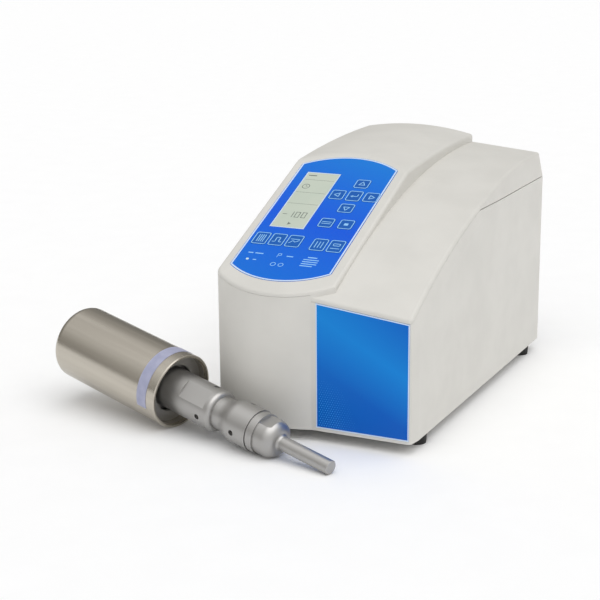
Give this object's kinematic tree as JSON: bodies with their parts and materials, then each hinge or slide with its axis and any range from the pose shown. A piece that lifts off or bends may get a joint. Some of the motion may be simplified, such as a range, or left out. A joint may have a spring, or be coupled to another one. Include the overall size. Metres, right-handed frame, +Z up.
{
  "type": "probe sonicator",
  "caption": "Bench ultrasonic generator with a slanted keypad and display, and its tubular handpiece with a stepped horn lying in front of it.",
  "frame": {"origin": "on the bench, under the middle of the box round the generator and its handpiece", "axes": "+X to the generator's right, +Y from its front to its back, +Z up"},
  "size_m": [0.3618, 0.431, 0.2284],
  "materials": {
    "housing_moulding": "fine moulded texture, satin off-white",
    "panel_enamel": "grey-white baked enamel",
    "label_film": "satin printed polyester film, blue",
    "keypad_film": "embossed printed polyester film, blue",
    "window_acrylic": "clear acrylic",
    "display_glass": "reflective liquid crystal, grey-green",
    "circuit_board": "green solder mask",
    "switch_dome": "black moulded switch",
    "rubber_feet": "black moulded rubber",
    "seal_rubber": "black nitrile",
    "zinc_screws": "zinc plated",
    "extruded_aluminium": "extruded, as made",
    "moulded_black": "black moulded plastic",
    "ferrite": "dark grey pressed ferrite",
    "enamelled_winding": "enamelled copper winding",
    "capacitor_sleeve": "dark blue shrink sleeve",
    "guard_wire": "bright plated",
    "plated_brass": "nickel plated brass",
    "socket_insulator": "white insulator",
    "stainless_tube": "polished stainless steel",
    "band_film": "pale blue printed film",
    "turned_titanium": "turned titanium alloy, satin",
    "tail_steel": "turned steel",
    "piezo_ceramic": "fired ceramic",
    "electrode_copper": "thin copper alloy"
  },
  "bodies": {
    "housing": {"lower_shell": "housing_moulding", "top_cover": "housing_moulding", "base_pan": "panel_enamel", "rear_panel": "panel_enamel", "panel_screws": "zinc_screws", "feet": "rubber_feet", "foot_screws": "zinc_screws", "front_label": "label_film", "keypad_overlay": "keypad_film", "display_window": "window_acrylic", "display_module": "display_glass", "key_board": "circuit_board", "key_switches": "switch_dome", "board_standoffs": "zinc_screws", "board_screws": "zinc_screws", "main_board": "circuit_board", "heat_sink": "extruded_aluminium", "power_transistors": "moulded_black", "transformer_core": "ferrite", "transformer_coil": "enamelled_winding", "filter_capacitors": "capacitor_sleeve", "tuning_coil": "enamelled_winding", "fan_frame": "moulded_black", "fan_guard": "guard_wire", "fan_screws": "zinc_screws", "power_inlet": "moulded_black", "inlet_pins": "plated_brass", "power_switch": "moulded_black", "output_socket": "plated_brass", "output_core": "socket_insulator", "remote_socket": "plated_brass", "ground_stud": "zinc_screws"},
    "key_up_body": {"key_up": "keypad_film"},
    "key_left_body": {"key_left": "keypad_film"},
    "key_enter_body": {"key_enter": "keypad_film"},
    "key_right_body": {"key_right": "keypad_film"},
    "key_down_body": {"key_down": "keypad_film"},
    "key_clear_body": {"key_clear": "keypad_film"},
    "key_store_body": {"key_store": "keypad_film"},
    "key_time_body": {"key_time": "keypad_film"},
    "key_pulse_body": {"key_pulse": "keypad_film"},
    "key_limit_body": {"key_limit": "keypad_film"},
    "key_test_body": {"key_test": "keypad_film"},
    "key_start_body": {"key_start": "keypad_film"},
    "rocker": {"power_rocker": "moulded_black"},
    "rotor": {"fan_rotor": "moulded_black"},
    "handpiece": {"handpiece_case": "stainless_tube", "case_band": "band_film", "case_socket": "plated_brass", "retaining_ring": "stainless_tube", "seal_rings": "seal_rubber", "front_driver": "turned_titanium", "piezo_rings": "piezo_ceramic", "electrodes": "electrode_copper", "tail_mass": "tail_steel", "stack_bolt": "tail_steel", "horn_stud": "tail_steel"},
    "horn_body": {"horn": "turned_titanium"},
    "tip_body": {"tip": "turned_titanium"}
  },
  "joints": [
    {"name": "press_up", "type": "slide", "parent": "housing", "child": "key_up_body", "axis": [0, 0.4003, -0.9164], "range_m": [0, 0.0005], "stiffness_N_per_m": 600},
    {"name": "press_left", "type": "slide", "parent": "housing", "child": "key_left_body", "axis": [0, 0.4003, -0.9164], "range_m": [0, 0.0005], "stiffness_N_per_m": 600},
    {"name": "press_enter", "type": "slide", "parent": "housing", "child": "key_enter_body", "axis": [0, 0.4003, -0.9164], "range_m": [0, 0.0005], "stiffness_N_per_m": 600},
    {"name": "press_right", "type": "slide", "parent": "housing", "child": "key_right_body", "axis": [0, 0.4003, -0.9164], "range_m": [0, 0.0005], "stiffness_N_per_m": 600},
    {"name": "press_down", "type": "slide", "parent": "housing", "child": "key_down_body", "axis": [0, 0.4003, -0.9164], "range_m": [0, 0.0005], "stiffness_N_per_m": 600},
    {"name": "press_clear", "type": "slide", "parent": "housing", "child": "key_clear_body", "axis": [0, 0.4003, -0.9164], "range_m": [0, 0.0005], "stiffness_N_per_m": 600},
    {"name": "press_store", "type": "slide", "parent": "housing", "child": "key_store_body", "axis": [0, 0.4003, -0.9164], "range_m": [0, 0.0005], "stiffness_N_per_m": 600},
    {"name": "press_time", "type": "slide", "parent": "housing", "child": "key_time_body", "axis": [0, 0.4003, -0.9164], "range_m": [0, 0.0005], "stiffness_N_per_m": 600},
    {"name": "press_pulse", "type": "slide", "parent": "housing", "child": "key_pulse_body", "axis": [0, 0.4003, -0.9164], "range_m": [0, 0.0005], "stiffness_N_per_m": 600},
    {"name": "press_limit", "type": "slide", "parent": "housing", "child": "key_limit_body", "axis": [0, 0.4003, -0.9164], "range_m": [0, 0.0005], "stiffness_N_per_m": 600},
    {"name": "press_test", "type": "slide", "parent": "housing", "child": "key_test_body", "axis": [0, 0.4003, -0.9164], "range_m": [0, 0.0005], "stiffness_N_per_m": 600},
    {"name": "press_start", "type": "slide", "parent": "housing", "child": "key_start_body", "axis": [0, 0.4003, -0.9164], "range_m": [0, 0.0005], "stiffness_N_per_m": 600},
    {"name": "power_rocker_tip", "type": "hinge", "parent": "housing", "child": "rocker", "pos_m": [0.13494, 0.1995, 0.0985], "axis": [1, 0, 0], "range_deg": [0, 20]},
    {"name": "fan_spin", "type": "hinge", "parent": "housing", "child": "rotor", "pos_m": [0.04694, 0.1905, 0.1585], "axis": [0, 1, 0], "continuous": true},
    {"name": "handpiece_lift", "type": "slide", "parent": "housing", "child": "handpiece", "axis": [0, 0, 1], "range_m": [0, 0.15]},
    {"name": "horn_unscrew", "type": "hinge", "parent": "handpiece", "child": "horn_body", "pos_m": [0.02323, -0.17767, 0.02457], "axis": [0.9498, -0.2711, -0.1564], "continuous": true},
    {"name": "tip_unscrew", "type": "hinge", "parent": "horn_body", "child": "tip_body", "pos_m": [0.12865, -0.20776, 0.00721], "axis": [0.9498, -0.2711, -0.1564], "continuous": true}
  ]
}
